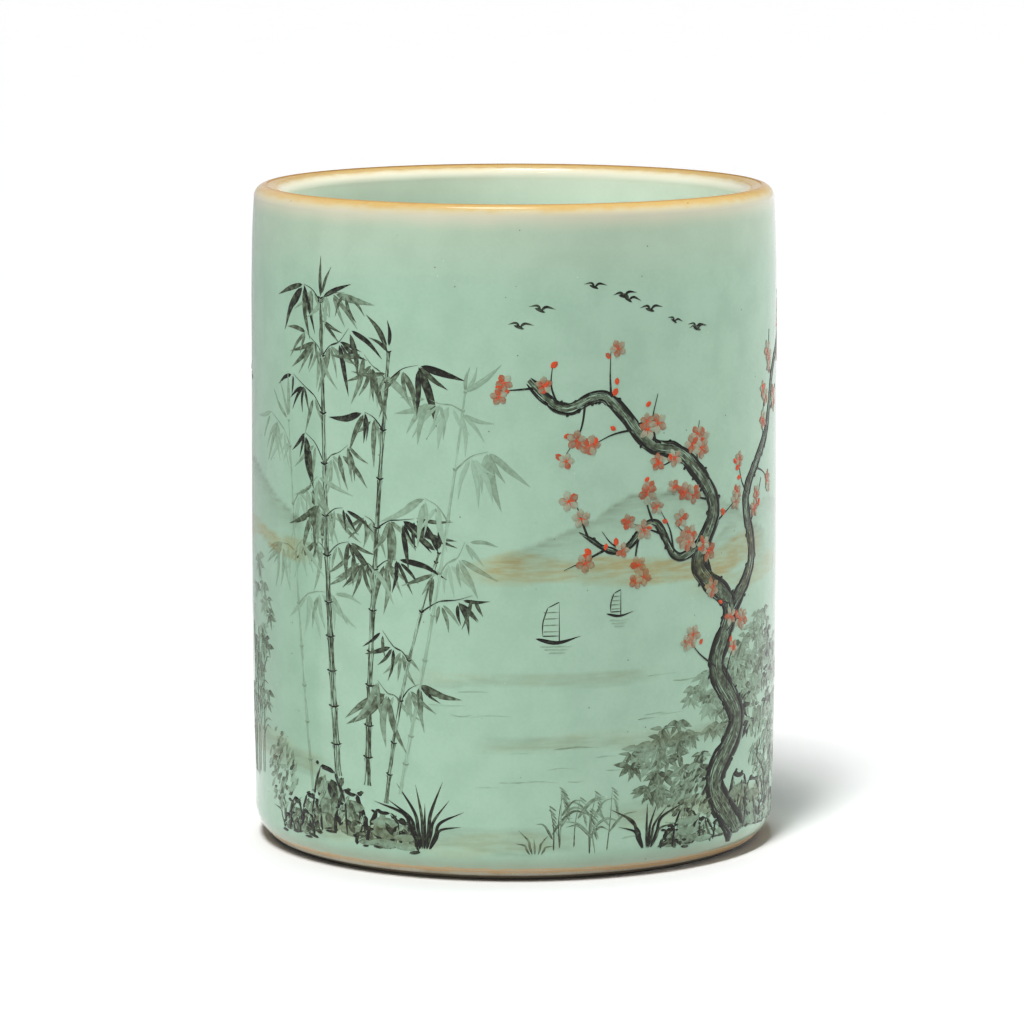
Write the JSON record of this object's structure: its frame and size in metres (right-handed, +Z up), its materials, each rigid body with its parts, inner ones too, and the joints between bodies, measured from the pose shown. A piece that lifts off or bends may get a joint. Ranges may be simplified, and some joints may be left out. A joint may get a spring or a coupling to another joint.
{
  "type": "brush pot",
  "caption": "Straight cylindrical celadon-glazed porcelain brush pot with a rounded, ochre-dressed lip and an unglazed turned foot ring.",
  "frame": {"origin": "centre of the circle that the foot ring stands on", "axes": "+Z up along the turning axis, out of the mouth; -Y is the front of the painted design"},
  "size_m": [0.101, 0.101, 0.1265],
  "materials": {
    "porcelain": "bare fired porcelain",
    "foot": "unglazed, burnt orange where the glaze ends",
    "celadon": "glossy pale celadon glaze with iron specks",
    "celadon_inside": "glossy pale celadon glaze",
    "lip": "ochre-brown iron dressing under a thin glaze"
  },
  "bodies": {
    "root": {"wall": "porcelain", "base_disc": "porcelain", "foot_ring": "foot", "outer_glaze": "celadon", "inner_glaze": "celadon_inside", "floor_glaze": "celadon_inside", "rim_dressing": "lip", "base_glaze": "celadon_inside"}
  },
  "joints": []
}
